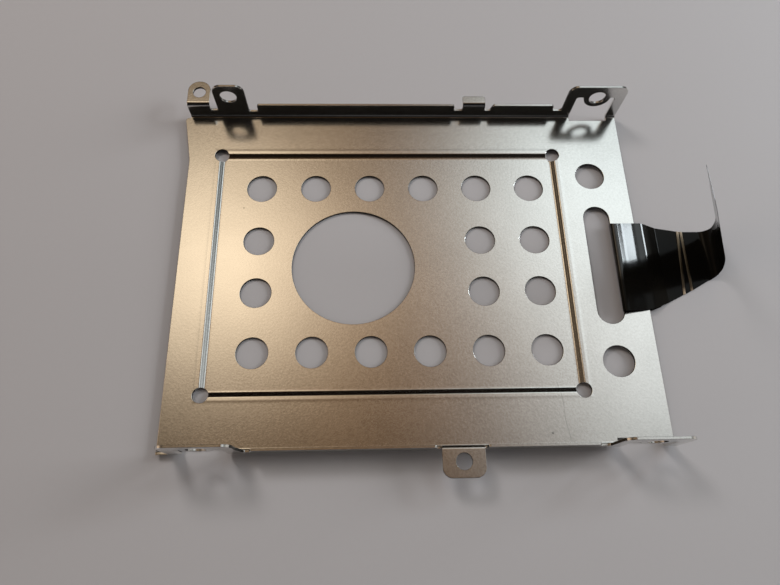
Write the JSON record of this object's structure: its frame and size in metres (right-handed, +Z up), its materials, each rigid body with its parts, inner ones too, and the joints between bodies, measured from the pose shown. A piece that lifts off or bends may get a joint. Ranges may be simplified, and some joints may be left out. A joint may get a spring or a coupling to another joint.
{
  "type": "laptop drive caddy",
  "caption": "Folded sheet-metal tray with punched holes, screw ears and outward tabs that carries a small laptop drive, with a looped film pull tab at one end.",
  "frame": {"origin": "on the underside of the lowered panel, midway between the drive screws and midway between the side walls", "axes": "+X along the drive towards the pull tab, +Y across to the wall with the solid ear, +Z up out of the open side"},
  "size_m": [0.1077, 0.0815, 0.0256],
  "materials": {
    "tray_metal": "satin plated sheet steel",
    "tab_film": "glossy black polyester film"
  },
  "bodies": {
    "root": {"drive_tray": "tray_metal", "pull_tab": "tab_film"}
  },
  "joints": []
}
